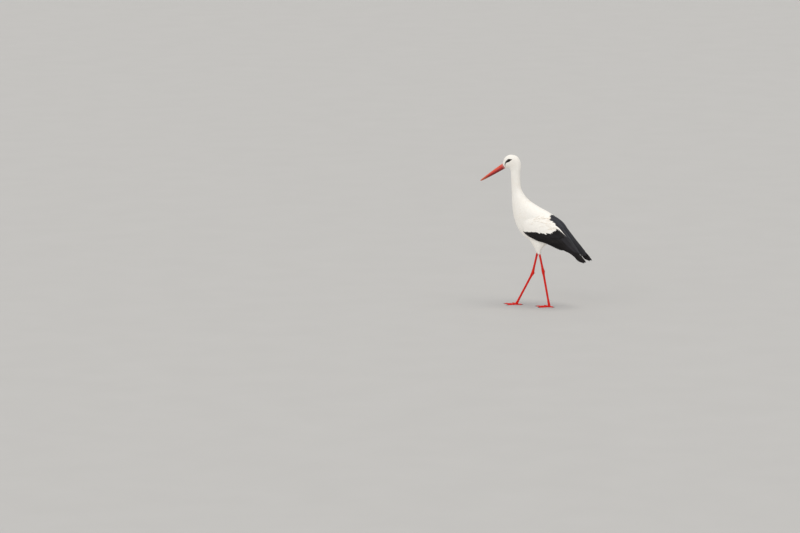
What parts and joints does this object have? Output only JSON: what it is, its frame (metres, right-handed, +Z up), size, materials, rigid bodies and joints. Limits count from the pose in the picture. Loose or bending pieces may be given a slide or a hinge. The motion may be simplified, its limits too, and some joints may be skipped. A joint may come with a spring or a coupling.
{
  "type": "white stork model",
  "caption": "Life-size still model of a white stork in a slow walking stance, head turned a little, wings folded, feet flat on the floor.",
  "frame": {"origin": "on the floor, under the middle of the bird's length and width", "axes": "+Z up; the bird faces -Y; its left side is +X"},
  "size_m": [0.1742, 0.6754, 0.907],
  "materials": {
    "plumage": "soft matte white feathers",
    "flight_feather": "satin brown-black feathers with a faint purple-grey sheen",
    "bill": "satin red horn",
    "leg": "scaly red skin",
    "claw": "dull dark horn",
    "eye": "glossy dark"
  },
  "bodies": {
    "root": {"head": "plumage", "neck": "plumage", "trunk": "plumage", "tail": "plumage", "bill_upper": "bill", "bill_lower": "bill", "eye_left": "eye", "eye_right": "eye", "wing_left_coverts": "plumage", "wing_left_secondaries": "flight_feather", "wing_left_primaries": "flight_feather", "thigh_left": "plumage", "shank_left": "leg", "ankle_left": "leg", "tarsus_left": "leg", "foot_left": "leg", "toe_left_inner": "leg", "claw_left_inner": "claw", "toe_left_middle": "leg", "claw_left_middle": "claw", "toe_left_outer": "leg", "claw_left_outer": "claw", "toe_left_hind": "leg", "claw_left_hind": "claw", "wing_right_coverts": "plumage", "wing_right_secondaries": "flight_feather", "wing_right_primaries": "flight_feather", "thigh_right": "plumage", "shank_right": "leg", "ankle_right": "leg", "tarsus_right": "leg", "foot_right": "leg", "toe_right_inner": "leg", "claw_right_inner": "claw", "toe_right_middle": "leg", "claw_right_middle": "claw", "toe_right_outer": "leg", "claw_right_outer": "claw", "toe_right_hind": "leg", "claw_right_hind": "claw"}
  },
  "joints": []
}
